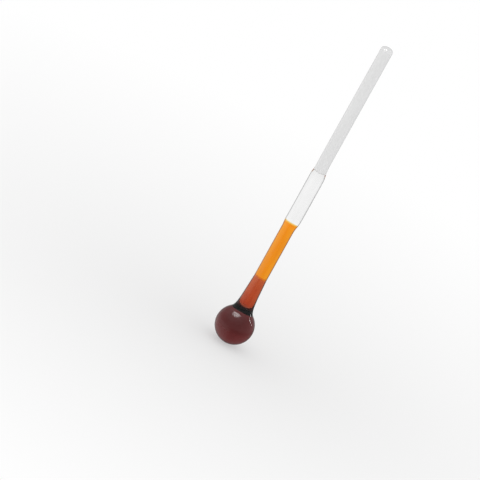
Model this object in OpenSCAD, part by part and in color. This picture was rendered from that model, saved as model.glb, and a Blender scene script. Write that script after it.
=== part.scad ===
// Ball-ended glass stirring rod.
// Five lengths of coloured glass are fused end to end on one axis, along +Z: a solid dark red
// ball drawn out into a neck, a rust stem, an amber stem, a thicker clear stem and an opal
// white handle with a fire-polished end. The origin is the lowest point of the ball.

/* [Ball and neck] */
// Diameter of the ball
ball_d = 17.1; // [13:0.1:24]
// Angle from the rod's axis at which the neck leaves the ball
leave_angle = 41; // [38:1:55]
// How sharply the neck closes in above the ball, higher being sharper
neck_power = 1.1; // [1:0.1:3]
// Height of dark red glass above the place where the neck leaves the ball
ball_neck_len = 3.0; // [2:0.1:8]

/* [Stem] */
// Diameter of the rust and amber stem
stem_d = 5.8; // [4.5:0.1:8]
// Length of the rust glass
rust_len = 14.4; // [8:0.1:30]
// Length of the amber glass
amber_len = 28.0; // [15:0.1:60]
// Diameter of the clear stem
clear_d = 6.7; // [4.5:0.1:9]
// Length of the clear glass
clear_len = 26.1; // [15:0.1:60]
// Length over which the diameter changes at each end of the clear stem
shoulder_len = 5.4; // [3.8:0.1:7]
// How far each change of diameter begins before its joint
shoulder_lead = 3.4; // [0.4:0.1:5]

/* [Handle] */
// Diameter of the opal handle
handle_d = 5.5; // [4:0.1:8]
// Length of the opal glass, its round end included
handle_len = 62.4; // [30:0.1:120]
// Height of the fire-polished round end
end_dome = 1.6; // [0.5:0.1:2]

/* [Hidden] */
$fn = 96;

ball_r = ball_d / 2;
stem_r = stem_d / 2;
clear_r = clear_d / 2;
handle_r = handle_d / 2;

// The circle where the neck leaves the ball, tangent to it
leave_r = ball_r * sin(leave_angle);
leave_z = ball_r * (1 + cos(leave_angle));

// Joints between neighbouring lengths of glass
rust_joint = leave_z + ball_neck_len;
amber_joint = rust_joint + rust_len;
clear_joint = amber_joint + amber_len;
opal_joint = clear_joint + clear_len;
rod_top = opal_joint + handle_len;

// Both changes of diameter begin a little before the joint they belong to
lower_shoulder = clear_joint - shoulder_lead;
upper_shoulder = opal_joint - shoulder_lead;

// Steps in each curved stretch of an outline
neck_steps = 40;
shoulder_steps = 16;
dome_steps = 12;

// Radius of the neck, from the ball to the amber joint. It leaves the ball at the ball's own
// slope, closes in by a power of the distance, and reaches the stem's radius at the joint.
function neck_r(z) =
    let (
        flare = leave_r - stem_r,
        ease = neck_power * flare * tan(leave_angle),
        risen = (z - leave_z) / (amber_joint - leave_z)
    )
    stem_r + flare * pow(1 + (z - leave_z) / ease, -neck_power) * (1 - pow(risen, 4));

// Radius on a shoulder that begins at height from_z: a half cosine wave from r1 to r2
function shoulder_r(z, from_z, r1, r2) =
    r1 + (r2 - r1) * (1 - cos(180 * (z - from_z) / shoulder_len)) / 2;

// Outline points of the neck from z1 to z2, closest together near the ball
function neck_points(z1, z2) =
    [for (i = [0 : neck_steps])
        let (z = z1 + (z2 - z1) * pow(i / neck_steps, 1.5))
        [neck_r(z), z]];

// Outline points of the shoulder that begins at from_z, kept to the stretch from z1 to z2
function shoulder_points(from_z, r1, r2, z1, z2) =
    let (low = max(z1, from_z), high = min(z2, from_z + shoulder_len))
    [for (i = [0 : shoulder_steps])
        let (z = low + (high - low) * i / shoulder_steps)
        [shoulder_r(z, from_z, r1, r2), z]];

// Outline points of the handle's round end, a quarter of an ellipse that stops at the axis
function dome_points() =
    [for (i = [0 : dome_steps])
        let (a = 90 * i / dome_steps)
        [i == dome_steps ? 0 : handle_r * cos(a), rod_top - end_dome + end_dome * sin(a)]];

// Solid of revolution from outline points that run upwards between two heights on the axis
module turned(points, z1, z2) {
    rotate_extrude()
        polygon(concat([[0, z1]], points, [[0, z2]]));
}

// Solid ball with the start of its neck, up to the rust joint
module ball() {
    color("#5d2d30") {
        rotate_extrude()
            intersection() {
                translate([0, ball_r])
                    circle(r = ball_r);
                square([ball_r, leave_z]);
            }
        turned(neck_points(leave_z, rust_joint), leave_z, rust_joint);
    }
}

// Rust stem, the rest of the neck
module rust_section() {
    color("#bb5434")
        turned(neck_points(rust_joint, amber_joint), rust_joint, amber_joint);
}

// Amber stem, a cylinder that begins to swell below the clear joint
module amber_section() {
    color("#ee9628")
        turned(
            concat(
                [[stem_r, amber_joint]],
                shoulder_points(lower_shoulder, stem_r, clear_r, amber_joint, clear_joint)
            ),
            amber_joint, clear_joint
        );
}

// Clear stem, the thickest length, with the rest of one shoulder and the start of the other
module clear_section() {
    color("#f0f2f2", 0.5)
        turned(
            concat(
                shoulder_points(lower_shoulder, stem_r, clear_r, clear_joint, opal_joint),
                shoulder_points(upper_shoulder, clear_r, handle_r, clear_joint, opal_joint)
            ),
            clear_joint, opal_joint
        );
}

// Opal handle, narrowing from the clear joint to a plain cylinder with a round end
module opal_handle() {
    color("#dedede")
        turned(
            concat(
                shoulder_points(upper_shoulder, clear_r, handle_r, opal_joint, rod_top),
                dome_points()
            ),
            opal_joint, rod_top
        );
}

ball();
rust_section();
amber_section();
clear_section();
opal_handle();
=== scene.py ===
# Looks for a ball-ended glass stirring rod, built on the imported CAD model.
# Five lengths of coloured glass stand on one axis along +Z. Sizes in the dictionaries are in mm.
import math

import bpy
import numpy as np
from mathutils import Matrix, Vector


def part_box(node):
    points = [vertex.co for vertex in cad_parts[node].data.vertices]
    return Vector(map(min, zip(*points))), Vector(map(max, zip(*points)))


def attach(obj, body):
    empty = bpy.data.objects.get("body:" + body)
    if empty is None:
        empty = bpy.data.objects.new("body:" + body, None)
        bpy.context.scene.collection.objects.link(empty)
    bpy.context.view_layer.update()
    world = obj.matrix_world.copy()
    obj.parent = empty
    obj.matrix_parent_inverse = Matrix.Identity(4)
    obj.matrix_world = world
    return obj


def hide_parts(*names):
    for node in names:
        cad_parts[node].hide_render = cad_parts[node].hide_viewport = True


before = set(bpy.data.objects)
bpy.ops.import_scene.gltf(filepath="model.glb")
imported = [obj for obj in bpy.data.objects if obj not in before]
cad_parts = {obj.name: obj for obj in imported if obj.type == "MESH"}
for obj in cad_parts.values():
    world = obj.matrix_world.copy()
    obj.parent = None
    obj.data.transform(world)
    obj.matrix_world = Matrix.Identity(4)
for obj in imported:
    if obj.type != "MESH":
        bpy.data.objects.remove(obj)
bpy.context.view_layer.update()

mm = 0.001  # metres in a millimetre
print("stage 1: frame loaded,", len(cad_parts), "lengths of glass")

cameraSetup = {
    "aim": (-15.45, 0.0, 42.65),  # point in the middle of the picture
    "elevation": 18.7,            # degrees above the horizon
    "lean": 29.1,                 # degrees the picture is turned, so that the rod leans
    "distance": 5000.0,
    "fieldWidth": 202.4,          # what the picture takes in at the rod
    "sensorWidth": 36.0,
    "clipStart": 50.0,
    "clipEnd": 20000.0,
}


def makeCamera(setup):
    aim = Vector(setup["aim"]) * mm
    elevation = math.radians(setup["elevation"])
    back = Vector((0, -math.cos(elevation), math.sin(elevation)))
    lensData = bpy.data.cameras.new("studioCamera")
    camera = bpy.data.objects.new("studioCamera", lensData)
    bpy.context.scene.collection.objects.link(camera)
    camera.location = aim + back * setup["distance"] * mm
    camera.rotation_euler = (-back).to_track_quat("-Z", "Y").to_euler()
    camera.rotation_euler.rotate_axis("Z", math.radians(setup["lean"]))
    lensData.sensor_width = setup["sensorWidth"]
    lensData.lens = setup["sensorWidth"] * setup["distance"] / setup["fieldWidth"]
    lensData.clip_start = setup["clipStart"] * mm
    lensData.clip_end = setup["clipEnd"] * mm
    bpy.context.scene.camera = camera


makeCamera(cameraSetup)
print("stage 2: camera set")

# Where the glass changes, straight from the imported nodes
jointHeight = {name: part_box(name)[1].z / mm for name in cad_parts}

rodShape = {
    "ballRadius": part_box("ball")[1].x / mm,
    "leaveAngle": 41.0,      # degrees from the axis at which the neck leaves the ball
    "neckPower": 1.1,        # how sharply the neck closes in
    "neckClosing": 4,        # how late the last of the flare is taken off, higher being later
    "stemRadius": 2.9,
    "clearRadius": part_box("clear_section")[1].x / mm,
    "shoulderLength": 5.4,
    "shoulderLead": 3.4,     # how far a change of thickness starts before its joint
    "handleRadius": 2.75,
    "endDome": 1.6,          # height of the fire-polished end
}
leaveHeight = rodShape["ballRadius"] * (1 + math.cos(math.radians(rodShape["leaveAngle"])))

handWork = {
    "segments": 160,         # grid columns around the axis
    "capRows": 14,           # grid bands from a joint's rim to the axis
    "creaseAngle": 40.0,     # degrees past which an edge is sharp
    "outOfRound": 0.007,     # share by which a radius falls short where it is least round
    "ovalTurn": 21.0,        # height in which the oval turns by a radian
    "trefoilTurn": 13.0,     # and the three-sided wave, the other way
    "stemOffset": -0.22,     # how far the stem's axis stands off the middle of the ball
    "offsetFrom": 10.0,      # heights between which the axis steps off the ball's
    "offsetTo": 26.0,
    "clearOffset": 0.28,     # how far the clear length stands off the stem
    "lowStepReach": 4.0,     # half the length of the step at its lower joint
    "highStepReach": 6.0,    # and at its upper joint
    "waver": 0.05,           # slow waver of the drawn rod
    "waverLengthX": 24.0,    # height to a radian of it, across and in depth
    "waverLengthY": 33.0,
    "jointOverlap": 0.02,    # neighbours sink into each other by this, as fused glass does
}

# How each joint lies: its slope across the rod, and how far its middle bulges upwards
jointForm = {
    "ball": {"slope": 0.0, "bulge": 0.0},
    "rust_section": {"slope": -0.16, "bulge": 0.0},
    "amber_section": {"slope": 0.0, "bulge": 0.0},
    "clear_section": {"slope": 0.0, "bulge": 0.4},
}


def smoothStep(value, start, end):
    # 0 before start, 1 after end, and 3t^2 - 2t^3 between them
    t = np.clip((value - start) / (end - start), 0, 1)
    return t * t * (3 - 2 * t)


def neckRadius(z):
    # The stem's radius plus what is left of the ball's flare, which dies away by a power of the
    # height above the ball, times one less a high power of the share of the neck below
    angle = math.radians(rodShape["leaveAngle"])
    flare = rodShape["ballRadius"] * math.sin(angle) - rodShape["stemRadius"]
    ease = rodShape["neckPower"] * flare * math.tan(angle)
    above = np.maximum(z - leaveHeight, 0)
    climbed = above / (jointHeight["rust_section"] - leaveHeight)
    left = (1 + above / ease) ** -rodShape["neckPower"] * (1 - climbed ** rodShape["neckClosing"])
    return rodShape["stemRadius"] + flare * left


def shoulderRadius(z, start, lowRadius, highRadius):
    # Half a cosine wave from the lower radius to the upper one, level before and after it
    t = np.clip((z - start) / rodShape["shoulderLength"], 0, 1)
    return lowRadius + (highRadius - lowRadius) * (1 - np.cos(np.pi * t)) / 2


def rodRadius(z):
    # Radius of the round rod at a height, one formula after another going up: a sphere; the neck;
    # the stem with its shoulder out to the clear length; the shoulder in to the handle; and a
    # quarter of an ellipse
    ballRadius = rodShape["ballRadius"]
    clearRadius = rodShape["clearRadius"]
    handleRadius = rodShape["handleRadius"]
    lowerStart = jointHeight["amber_section"] - rodShape["shoulderLead"]
    upperStart = jointHeight["clear_section"] - rodShape["shoulderLead"]
    domeStart = jointHeight["opal_handle"] - rodShape["endDome"]
    sphere = np.sqrt(np.clip(ballRadius ** 2 - (z - ballRadius) ** 2, 0, None))
    lower = shoulderRadius(z, lowerStart, rodShape["stemRadius"], clearRadius)
    upper = shoulderRadius(z, upperStart, clearRadius, handleRadius)
    dome = handleRadius * np.sqrt(np.clip(1 - ((z - domeStart) / rodShape["endDome"]) ** 2, 0, 1))
    return np.select(
        [z <= leaveHeight, z <= jointHeight["rust_section"], z <= upperStart, z <= domeStart],
        [sphere, neckRadius(z), lower, upper], dome)


def roundness(angle, z):
    # 1 less a small share that rises and falls in two and three waves around the axis, and turns
    # slowly with height, as in glass turned by hand over a flame
    oval = np.sin(2 * angle + z / handWork["ovalTurn"])
    trefoil = np.sin(3 * angle - z / handWork["trefoilTurn"] + 1.0)
    return 1 - handWork["outOfRound"] * (0.5 + 0.25 * oval + 0.25 * trefoil)


def axisDrift(z):
    # Sideways place of the rod's axis: none in the ball, a step in the neck, a step out and back
    # at the ends of the clear length, and two slow sine waves
    settled = smoothStep(z, handWork["offsetFrom"], handWork["offsetTo"])
    below, lowReach = jointHeight["amber_section"], handWork["lowStepReach"]
    above, highReach = jointHeight["clear_section"], handWork["highStepReach"]
    inClear = smoothStep(z, below - lowReach, below + lowReach)
    inClear = inClear - smoothStep(z, above - highReach, above + highReach)
    waverX = handWork["waver"] * np.sin(z / handWork["waverLengthX"])
    waverY = handWork["waver"] * np.sin(z / handWork["waverLengthY"] + 0.8)
    x = settled * (handWork["stemOffset"] + waverX) + handWork["clearOffset"] * inClear
    return x, settled * waverY


def jointLevel(joint, share, angle):
    # Height of a joint at a share of the radius: a flat disc, plus a slope across the rod, plus a
    # bulge that falls off with the square of the share
    z = jointHeight[joint]
    reach = rodRadius(np.array(z)) * share * np.cos(angle)
    form = jointForm[joint]
    return z + form["slope"] * reach + form["bulge"] * (1 - share ** 2)


def placed(radius, angle, z):
    # Points at a radius and angle about the drifting axis
    driftX, driftY = axisDrift(z)
    return np.stack([radius * np.cos(angle) + driftX, radius * np.sin(angle) + driftY, z], -1)


def jointCap(joint, angle, lift):
    # The disc that closes a joint: rows at even shares of the radius, and the point on the axis
    share = np.linspace(0, 1, handWork["capRows"] + 1)[1:-1, None]
    rim = jointLevel(joint, 1.0, angle)
    rimRadius = rodRadius(rim) * roundness(angle, rim)
    rows = placed(share * rimRadius, angle, jointLevel(joint, share, angle))
    middle = placed(np.zeros(1), np.zeros(1), np.array([jointLevel(joint, 0.0, 0.0)]))
    rows[..., 2] += lift
    middle[..., 2] += lift
    return rows, middle


def lengthOfGlass(name, node, levels, lowJoint=None, highJoint=None):
    # A closed surface on a grid of two parameters, level along the axis and angle around it.
    # The wall takes rodRadius at each level. Its first and last rows follow the joints' slopes,
    # and each joint is closed by its cap. An end with no joint closes in to a point by itself.
    angle = np.linspace(0, 2 * np.pi, handWork["segments"], endpoint=False)[None, :]
    levels = np.asarray(levels, float)[:, None]
    up = (levels - levels[0]) / (levels[-1] - levels[0])
    z = np.repeat(levels, angle.size, 1)
    if lowJoint:
        z = z + (1 - up) * (jointLevel(lowJoint, 1.0, angle) - levels[0])
    if highJoint:
        z = z + up * (jointLevel(highJoint, 1.0, angle) - levels[-1])
    wall = placed(rodRadius(z) * roundness(angle, z), angle, z)
    bottom = placed(np.zeros(1), np.zeros(1), levels[0])
    crown = placed(np.zeros(1), np.zeros(1), levels[-1])
    rows = []
    if lowJoint:
        low, bottom = jointCap(lowJoint, angle, 0.0)
        rows.append(low)
    else:
        wall = wall[1:]
    if highJoint:
        wall[-1, :, 2] += handWork["jointOverlap"]
        high, crown = jointCap(highJoint, angle, handWork["jointOverlap"])
        rows += [wall, high[::-1]]
    else:
        rows.append(wall[:-1])
    grid = np.concatenate(rows)
    onJoint = np.zeros(len(grid) + 1)  # the fan below, each band of quads, the fan above
    if lowJoint:
        onJoint[:handWork["capRows"]] = 1
    if highJoint:
        onJoint[-handWork["capRows"]:] = 1
    return closedMesh(name, node, grid, bottom, crown, onJoint)


def closedMesh(name, node, grid, bottom, crown, onJoint):
    # Quads between the rows of a grid that closes on itself, and a fan of triangles at each pole.
    # The faces of a joint are marked, because two glasses melted into one have no surface there.
    rowCount, columnCount = grid.shape[:2]
    points = np.concatenate([grid.reshape(-1, 3), bottom, crown]) * mm
    row, column = np.meshgrid(np.arange(rowCount - 1), np.arange(columnCount), indexing="ij")
    here, above = row * columnCount, (row + 1) * columnCount
    following = (column + 1) % columnCount
    quads = np.stack([here + column, here + following, above + following, above + column], -1)
    ring = np.arange(columnCount)
    nextRing = (ring + 1) % columnCount
    last = (rowCount - 1) * columnCount
    lowFan = np.stack([np.full(columnCount, len(points) - 2), nextRing, ring], -1)
    highFan = np.stack([np.full(columnCount, len(points) - 1), last + ring, last + nextRing], -1)
    mesh = bpy.data.meshes.new(name)
    faces = lowFan.tolist() + quads.reshape(-1, 4).tolist() + highFan.tolist()
    mesh.from_pydata(points.tolist(), [], faces)
    marks = mesh.attributes.new("joint", "FLOAT", "FACE")
    marks.data.foreach_set("value", np.repeat(onJoint, columnCount))
    mesh.shade_smooth()
    mesh.set_sharp_from_angle(angle=math.radians(handWork["creaseAngle"]))
    piece = bpy.data.objects.new(name, mesh)
    bpy.context.scene.collection.objects.link(piece)
    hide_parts(node)
    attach(piece, "root")
    return piece


def toLinear(hexColour):
    # sRGB hex to the linear colour that Blender works in
    parts = np.array([int(hexColour[i:i + 2], 16) for i in (1, 3, 5)]) / 255
    linear = np.where(parts <= 0.04045, parts / 12.92, ((parts + 0.055) / 1.055) ** 2.4)
    return (*linear.tolist(), 1.0)


def addNode(tree, kind, settings=None, values=None, links=None):
    # A node with its settings, the plain values of its inputs, and the outputs linked into it
    node = tree.nodes.new(kind)
    for key, value in (settings or {}).items():
        setattr(node, key, value)
    for key, value in (values or {}).items():
        node.inputs[key].default_value = value
    for key, output in (links or {}).items():
        tree.links.new(output, node.inputs[key])
    return node


def emptyMaterial(name):
    material = bpy.data.materials.new(name)
    material.use_nodes = True
    material.node_tree.nodes.clear()
    return material, material.node_tree


# What all the transparent glasses share, as they come out of the same flame
flameWork = {
    "ior": 1.5,
    "streakDetail": 3.0, "streakRoughness": 0.55,
    "streakFrom": 0.38, "streakTo": 0.72,     # noise levels at which a streak begins and is full
    "lineSpacing": 0.5, "lineLength": 14.0,   # fine draw lines, coarser than real so that they show
    "lineDetail": 2.0, "lineHeight": 0.02,
    "paintedRimShadeEndFrom": 0.76, "paintedRimShadeEndTo": 0.83,     # where the painted dark rim shade gives way to the mirroring edge
}


def drawnGlass(name, finish):
    # Clear or coloured glass, drawn out hot and left as the flame smoothed it. To the eye it is
    # wet-looking, its colour deepens with its thickness, and faint streaks run along it. A painted
    # shade darkens its wall a little way in from the edge.
    material, tree = emptyMaterial(name)
    place = addNode(tree, "ShaderNodeTexCoord").outputs["Object"]
    width, length = finish["streakWidth"] * mm, finish["streakLength"] * mm
    stretched = addNode(tree, "ShaderNodeMapping",
                        values={"Scale": (1 / width, 1 / width, 1 / length)},
                        links={"Vector": place}).outputs["Vector"]
    streaks = addNode(tree, "ShaderNodeTexNoise",
                      values={"Scale": 1.0, "Detail": flameWork["streakDetail"],
                              "Roughness": flameWork["streakRoughness"]},
                      links={"Vector": stretched}).outputs["Fac"]
    streakShare = addNode(tree, "ShaderNodeMapRange", {"interpolation_type": "SMOOTHSTEP"},
                          {"From Min": flameWork["streakFrom"], "From Max": flameWork["streakTo"],
                           "To Max": finish["streakDepth"]},
                          {"Value": streaks}).outputs["Result"]
    tinted = addNode(tree, "ShaderNodeMix", {"data_type": "RGBA"},
                     {6: (1.0, 1.0, 1.0, 1.0), 7: toLinear(finish["streakColour"])},
                     {0: streakShare}).outputs[2]
    # a dark rim of painted shade, put in because the pale room has nothing dark for the edge to
    # show:
    # it follows how far the wall turns away, and stops short of the very edge, which is a mirror
    turnedAway = addNode(tree, "ShaderNodeLayerWeight", values={"Blend": 0.5}).outputs["Facing"]
    rim = addNode(tree, "ShaderNodeMapRange", {"interpolation_type": "SMOOTHSTEP"},
                  {"From Min": finish["paintedRimShadeFrom"], "From Max": finish["paintedRimShadeTo"],
                   "To Max": finish["paintedRimShadeDepth"]},
                  {"Value": turnedAway}).outputs["Result"]
    rimEnd = addNode(tree, "ShaderNodeMapRange", {"interpolation_type": "SMOOTHSTEP"},
                     {"From Min": flameWork["paintedRimShadeEndFrom"], "From Max": flameWork["paintedRimShadeEndTo"],
                      "To Min": 1.0, "To Max": 0.0},
                     {"Value": turnedAway}).outputs["Result"]
    band = addNode(tree, "ShaderNodeMath", {"operation": "MULTIPLY"},
                   links={0: rim, 1: rimEnd}).outputs[0]
    # a fused joint takes none of the painted rim shade, and bends no light
    joint = addNode(tree, "ShaderNodeAttribute", {"attribute_name": "joint"}).outputs["Fac"]
    wall = addNode(tree, "ShaderNodeMapRange", values={"To Min": 1.0, "To Max": 0.0},
                   links={"Value": joint}).outputs["Result"]
    bending = addNode(tree, "ShaderNodeMapRange",
                      values={"To Min": flameWork["ior"], "To Max": 1.0},
                      links={"Value": joint}).outputs["Result"]
    paintedRimShadeOnWall = addNode(tree, "ShaderNodeMath", {"operation": "MULTIPLY"},
                       links={0: band, 1: wall}).outputs[0]
    paintedRimShaded = addNode(tree, "ShaderNodeMix", {"data_type": "RGBA"},
                    {7: toLinear(finish["paintedRimShadeColour"])}, {0: paintedRimShadeOnWall, 6: tinted}).outputs[2]
    across, along = flameWork["lineSpacing"] * mm, flameWork["lineLength"] * mm
    fine = addNode(tree, "ShaderNodeMapping",
                   values={"Scale": (1 / across, 1 / across, 1 / along)},
                   links={"Vector": place}).outputs["Vector"]
    lines = addNode(tree, "ShaderNodeTexNoise",
                    values={"Scale": 1.0, "Detail": flameWork["lineDetail"]},
                    links={"Vector": fine}).outputs["Fac"]
    relief = addNode(tree, "ShaderNodeBump",
                     values={"Strength": finish["relief"],
                             "Distance": flameWork["lineHeight"] * mm},
                     links={"Height": lines}).outputs["Normal"]
    rough = addNode(tree, "ShaderNodeMapRange",
                    values={"To Min": 0.0, "To Max": finish["roughness"]},
                    links={"Value": streaks}).outputs["Result"]
    glass = addNode(tree, "ShaderNodeBsdfPrincipled", values={"Transmission Weight": 1.0},
                    links={"Base Color": paintedRimShaded, "Normal": relief, "Roughness": rough,
                           "IOR": bending}).outputs["BSDF"]
    body = addNode(tree, "ShaderNodeVolumeAbsorption",
                   values={"Color": toLinear(finish["bodyColour"]),
                           "Density": finish["bodyDensity"]}).outputs["Volume"]
    addNode(tree, "ShaderNodeOutputMaterial", links={"Surface": glass, "Volume": body})
    return material


wineBall = {
    "sphereRows": 110, "neckRows": 40,
    "neckCrowding": 1.3,     # power that gathers the neck's rows towards the ball
    "bodyColour": "#efe0e0", "bodyDensity": 1000.0,
    "streakColour": "#e0d0d0", "streakDepth": 0.5, "streakWidth": 3.0, "streakLength": 5.0,
    # the painted shade near the wall's edge: its colour, where it begins and is full, and its depth
    "paintedRimShadeColour": "#807070", "paintedRimShadeFrom": 0.64, "paintedRimShadeTo": 0.95, "paintedRimShadeDepth": 0.6,
    "relief": 0.15, "roughness": 0.03,
}


def makeBall(piece):
    polar = np.linspace(0, math.pi - math.radians(rodShape["leaveAngle"]), piece["sphereRows"])
    sphereLevels = rodShape["ballRadius"] * (1 - np.cos(polar))
    climb = np.linspace(0, 1, piece["neckRows"])[1:] ** piece["neckCrowding"]
    neckLevels = leaveHeight + (jointHeight["ball"] - leaveHeight) * climb
    levels = np.concatenate([sphereLevels, neckLevels])
    ball = lengthOfGlass("wine_red_ball", "ball", levels, highJoint="ball")
    ball.data.materials.append(drawnGlass("wineRedGlassFlameWorked", piece))


def makeStem(name, node, below, materialName, piece):
    levels = np.linspace(jointHeight[below], jointHeight[node], piece["rows"])
    stem = lengthOfGlass(name, node, levels, lowJoint=below, highJoint=node)
    stem.data.materials.append(drawnGlass(materialName, piece))


rustStem = {
    "rows": 90,
    "bodyColour": "#f4d0b1", "bodyDensity": 1000.0,
    "streakColour": "#e4c0b0", "streakDepth": 0.7, "streakWidth": 1.0, "streakLength": 7.0,
    # the painted shade near the wall's edge: its colour, where it begins and is full, and its depth
    "paintedRimShadeColour": "#2a1410", "paintedRimShadeFrom": 0.45, "paintedRimShadeTo": 0.72, "paintedRimShadeDepth": 1.0,
    "relief": 0.2, "roughness": 0.03,
}

amberStem = {
    "rows": 150,
    "bodyColour": "#fee87e", "bodyDensity": 1000.0,
    "streakColour": "#ecd2b0", "streakDepth": 0.55, "streakWidth": 1.0, "streakLength": 12.0,
    # the painted shade near the wall's edge: its colour, where it begins and is full, and its depth
    "paintedRimShadeColour": "#4a2c1c", "paintedRimShadeFrom": 0.43, "paintedRimShadeTo": 0.72, "paintedRimShadeDepth": 1.0,
    "relief": 0.2, "roughness": 0.02,
}

clearStem = {
    "rows": 150,
    "bodyColour": "#f7f7f7", "bodyDensity": 120.0,
    "streakColour": "#f2f2f2", "streakDepth": 0.6, "streakWidth": 1.3, "streakLength": 14.0,
    # the painted shade near the wall's edge: its colour, where it begins and is full, and its depth
    "paintedRimShadeColour": "#585858", "paintedRimShadeFrom": 0.45, "paintedRimShadeTo": 0.75, "paintedRimShadeDepth": 0.95,
    "relief": 0.15, "roughness": 0.01,
}

opalHandle = {
    "rows": 150, "domeRows": 30,
    "milk": "#e7e7e7", "thin": "#e4e4e4",     # where the opal is dense, and where it is thin
    "cloudWidth": 1.2, "cloudLength": 18.0, "cloudDetail": 3.0,
    "cloudFrom": 0.35, "cloudTo": 0.7,
    "relief": 0.15, "reliefHeight": 0.02,
    "ior": 1.5, "roughness": 0.12,
    "scatter": 1.2,                           # how far light spreads inside the milk
}


def opalGlass(name, finish):
    # Opal glass, drawn and then fire-polished. To the eye it is milky right through, with soft
    # clouds along it, light that spreads a little way inside, and a gentler gloss than clear glass.
    material, tree = emptyMaterial(name)
    place = addNode(tree, "ShaderNodeTexCoord").outputs["Object"]
    width, length = finish["cloudWidth"] * mm, finish["cloudLength"] * mm
    stretched = addNode(tree, "ShaderNodeMapping",
                        values={"Scale": (1 / width, 1 / width, 1 / length)},
                        links={"Vector": place}).outputs["Vector"]
    clouds = addNode(tree, "ShaderNodeTexNoise",
                     values={"Scale": 1.0, "Detail": finish["cloudDetail"]},
                     links={"Vector": stretched}).outputs["Fac"]
    share = addNode(tree, "ShaderNodeMapRange",
                    values={"From Min": finish["cloudFrom"], "From Max": finish["cloudTo"]},
                    links={"Value": clouds}).outputs["Result"]
    colour = addNode(tree, "ShaderNodeMix", {"data_type": "RGBA"},
                     {6: toLinear(finish["milk"]), 7: toLinear(finish["thin"])},
                     {0: share}).outputs[2]
    relief = addNode(tree, "ShaderNodeBump",
                     values={"Strength": finish["relief"],
                             "Distance": finish["reliefHeight"] * mm},
                     links={"Height": clouds}).outputs["Normal"]
    glass = addNode(tree, "ShaderNodeBsdfPrincipled",
                    values={"IOR": finish["ior"], "Roughness": finish["roughness"],
                            "Subsurface Weight": 1.0, "Subsurface Radius": (1.0, 1.0, 1.0),
                            "Subsurface Scale": finish["scatter"] * mm},
                    links={"Base Color": colour, "Normal": relief}).outputs["BSDF"]
    addNode(tree, "ShaderNodeOutputMaterial", links={"Surface": glass})
    return material


def makeHandle(piece):
    domeStart = jointHeight["opal_handle"] - rodShape["endDome"]
    straight = np.linspace(jointHeight["clear_section"], domeStart, piece["rows"])
    climb = np.sin(np.linspace(0, math.pi / 2, piece["domeRows"])[1:])
    levels = np.concatenate([straight, domeStart + rodShape["endDome"] * climb])
    handle = lengthOfGlass("opal_handle_rod", "opal_handle", levels, lowJoint="clear_section")
    handle.data.materials.append(opalGlass("opalGlassFirePolished", piece))


makeBall(wineBall)
makeStem("rust_stem", "rust_section", "ball", "rustGlassDrawn", rustStem)
makeStem("amber_stem", "amber_section", "rust_section", "amberGlassDrawn", amberStem)
makeStem("clear_stem", "clear_section", "amber_section", "clearGlassDrawn", clearStem)
makeHandle(opalHandle)
print("stage 3: glass made")

board = {
    "radius": 2500.0,
    "drop": 0.05,                  # how far it lies below the ball
    "rings": 12, "spokes": 96,
    "ringCrowding": 2,             # power that gathers the rings towards the rod
    "colour": "#a8a8a8", "roughness": 0.9,
    "paintedLightNear": 0.445, "paintedLightFar": 0.635,    # painted light: the board glows, less near the rod as a painted shade
    "paintedShadeReach": 300.0, "paintedShadeEasing": 0.6,
}


def makeFloor(piece):
    # A disc of rings, whose radius grows by a power, and spokes, a hair below the ball. Painted
    # board is matt and shows no mirroring. It glows with painted light, dimmer near the rod as a
    # painted shade.
    rings, spokes = piece["rings"], piece["spokes"]
    out = np.linspace(0, 1, rings + 1)[1:, None] ** piece["ringCrowding"] * piece["radius"]
    angle = np.linspace(0, 2 * np.pi, spokes, endpoint=False)[None, :]
    x, y = out * np.cos(angle), out * np.sin(angle)
    disc = np.stack([x, y, np.full_like(x, -piece["drop"])], -1).reshape(-1, 3)
    points = np.concatenate([disc, [[0, 0, -piece["drop"]]]]) * mm
    row, column = np.meshgrid(np.arange(rings - 1), np.arange(spokes), indexing="ij")
    here, outer = row * spokes, (row + 1) * spokes
    following = (column + 1) % spokes
    quads = np.stack([here + column, outer + column, outer + following, here + following], -1)
    ring = np.arange(spokes)
    fan = np.stack([np.full(spokes, len(points) - 1), ring, (ring + 1) % spokes], -1)
    mesh = bpy.data.meshes.new("studioFloor")
    mesh.from_pydata(points.tolist(), [], quads.reshape(-1, 4).tolist() + fan.tolist())
    floor = bpy.data.objects.new("studioFloor", mesh)
    bpy.context.scene.collection.objects.link(floor)
    material, tree = emptyMaterial("whitePaintedBoard")
    place = addNode(tree, "ShaderNodeTexCoord").outputs["Object"]
    # painted light: the board glows by itself, and less near the rod, which paints a soft shade
    # around it
    away = addNode(tree, "ShaderNodeVectorMath", {"operation": "LENGTH"},
                   links={0: place}).outputs["Value"]
    share = addNode(tree, "ShaderNodeMapRange", values={"From Max": piece["paintedShadeReach"] * mm},
                    links={"Value": away}).outputs["Result"]
    eased = addNode(tree, "ShaderNodeMath", {"operation": "POWER"},
                    {1: piece["paintedShadeEasing"]}, {0: share}).outputs[0]
    light = addNode(tree, "ShaderNodeMapRange",
                    values={"To Min": piece["paintedLightNear"], "To Max": piece["paintedLightFar"]},
                    links={"Value": eased}).outputs["Result"]
    paint = addNode(tree, "ShaderNodeBsdfPrincipled",
                    values={"Base Color": toLinear(piece["colour"]),
                            "Roughness": piece["roughness"], "Specular IOR Level": 0.0,
                            "Emission Color": (1.0, 1.0, 1.0, 1.0)},
                    links={"Emission Strength": light}).outputs["BSDF"]
    addNode(tree, "ShaderNodeOutputMaterial", links={"Surface": paint})
    mesh.materials.append(material)
    floor.visible_glossy = False  # reflections see the board that makeWorld gives them


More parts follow.
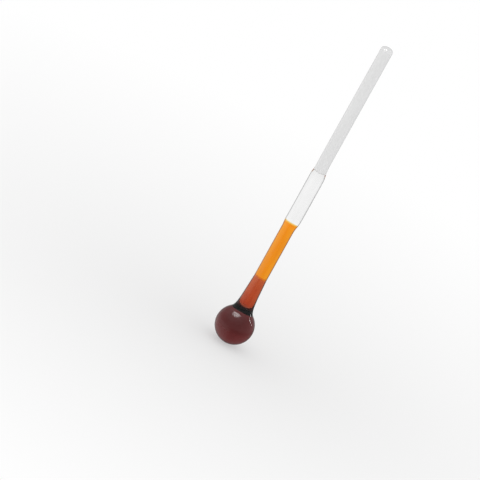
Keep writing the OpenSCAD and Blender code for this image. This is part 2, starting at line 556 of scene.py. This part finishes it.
room = {
    "backdrop": 1.0,                          # what the camera sees behind everything
    "skyLow": 0.98, "skyHigh": 0.9,           # brightness near the horizon, and overhead
    "skyLowAt": 0.45, "skyHighAt": 0.8,       # heights of the two, on a ball of radius 1
    "glowDirection": (-0.26, -0.13, 0.956),   # the overhead softbox
    "glow": 6.5, "halo": 0.35,                # its brightness, and that of the haze around it
    "glowFrom": 0.90, "glowTo": 0.995,        # cosines to its middle where each begins and is full
    "haloFrom": 0.4, "haloTo": 1.0,
    "mirroredSky": 0.4,                       # share of the sky that a reflection shows
    "mirroredLeft": 0.65, "mirroredRight": 0.2,       # and of the board, on either side
    "leftAt": -0.7, "rightAt": 0.0,           # how far across those two hold
    "boardAt": -0.2, "skyAt": -0.05,          # heights between which board gives way to sky
}


def makeWorld(setup):
    # A pale sky above a pale board, with one softbox that shows in reflections only
    world = bpy.data.worlds.new("softStudio")
    bpy.context.scene.world = world
    world.use_nodes = True
    tree = world.node_tree
    tree.nodes.clear()
    direction = addNode(tree, "ShaderNodeTexCoord").outputs["Generated"]
    along = addNode(tree, "ShaderNodeSeparateXYZ", links={"Vector": direction}).outputs
    sky = addNode(tree, "ShaderNodeMapRange", {"interpolation_type": "SMOOTHSTEP"},
                  {"From Min": setup["skyLowAt"], "From Max": setup["skyHighAt"],
                   "To Min": setup["skyLow"], "To Max": setup["skyHigh"]},
                  {"Value": along["Z"]}).outputs["Result"]
    towards = addNode(tree, "ShaderNodeVectorMath", {"operation": "DOT_PRODUCT"},
                      {1: Vector(setup["glowDirection"]).normalized()},
                      {0: direction}).outputs["Value"]
    glow = addNode(tree, "ShaderNodeMapRange", {"interpolation_type": "SMOOTHSTEP"},
                   {"From Min": setup["glowFrom"], "From Max": setup["glowTo"],
                    "To Max": setup["glow"]},
                   {"Value": towards}).outputs["Result"]
    halo = addNode(tree, "ShaderNodeMapRange", {"interpolation_type": "SMOOTHSTEP"},
                   {"From Min": setup["haloFrom"], "From Max": setup["haloTo"],
                    "To Max": setup["halo"]},
                   {"Value": towards}).outputs["Result"]
    # a ray that a surface turned back sees a dimmer room than one that came through the glass
    path = addNode(tree, "ShaderNodeLightPath").outputs
    turnedBack = addNode(tree, "ShaderNodeMath", {"operation": "SUBTRACT", "use_clamp": True},
                         links={0: path["Is Glossy Ray"],
                                1: path["Is Transmission Ray"]}).outputs[0]
    mirroredBoard = addNode(tree, "ShaderNodeMapRange",
                            values={"From Min": setup["leftAt"], "From Max": setup["rightAt"],
                                    "To Min": setup["mirroredLeft"],
                                    "To Max": setup["mirroredRight"]},
                            links={"Value": along["X"]}).outputs["Result"]
    mirrored = addNode(tree, "ShaderNodeMapRange",
                       values={"From Min": setup["boardAt"], "From Max": setup["skyAt"],
                               "To Max": setup["mirroredSky"]},
                       links={"Value": along["Z"], "To Min": mirroredBoard}).outputs["Result"]
    share = addNode(tree, "ShaderNodeMapRange", values={"To Min": 1.0},
                    links={"Value": turnedBack, "To Max": mirrored}).outputs["Result"]
    dimmed = addNode(tree, "ShaderNodeMath", {"operation": "MULTIPLY"},
                     links={0: sky, 1: share}).outputs[0]
    lamp = addNode(tree, "ShaderNodeMath", {"operation": "ADD"},
                   links={0: glow, 1: halo}).outputs[0]
    lampSeen = addNode(tree, "ShaderNodeMath", {"operation": "MULTIPLY"},
                       links={0: lamp, 1: turnedBack}).outputs[0]
    lit = addNode(tree, "ShaderNodeMath", {"operation": "ADD"},
                  links={0: dimmed, 1: lampSeen}).outputs[0]
    shown = addNode(tree, "ShaderNodeMix", {"data_type": "FLOAT"}, {3: setup["backdrop"]},
                    {0: path["Is Camera Ray"], 2: lit}).outputs[0]
    background = addNode(tree, "ShaderNodeBackground", links={"Color": shown})
    addNode(tree, "ShaderNodeOutputWorld", links={"Surface": background.outputs["Background"]})


stripLamp = {
    "direction": (0.66, 0.35, 0.66), "distance": 900.0,
    "aimHeight": 8.3,              # the ball's middle, near enough
    "size": (55.0, 1200.0),
    "power": 1.1,
}


def makeStrip(setup):
    # A tall lamp behind on the right, which leaves the thin streak on the ball
    data = bpy.data.lights.new("stripSoftbox", "AREA")
    data.shape = "RECTANGLE"
    data.size, data.size_y = (side * mm for side in setup["size"])
    data.energy = setup["power"]
    strip = bpy.data.objects.new("stripSoftbox", data)
    bpy.context.scene.collection.objects.link(strip)
    away = Vector(setup["direction"]).normalized()
    strip.visible_diffuse = False
    strip.visible_transmission = False
    strip.location = (Vector((0, 0, setup["aimHeight"])) + away * setup["distance"]) * mm
    strip.rotation_euler = away.to_track_quat("Z", "Y").to_euler()


lightPaths = {"all": 32, "transmission": 24, "glossy": 16}  # bounces, for five glasses in a row

makeFloor(board)
makeWorld(room)
makeStrip(stripLamp)
scene = bpy.context.scene
scene.view_settings.view_transform = "Standard"
scene.cycles.max_bounces = lightPaths["all"]
scene.cycles.transmission_bounces = lightPaths["transmission"]
scene.cycles.glossy_bounces = lightPaths["glossy"]
print("stage 4: studio lit")
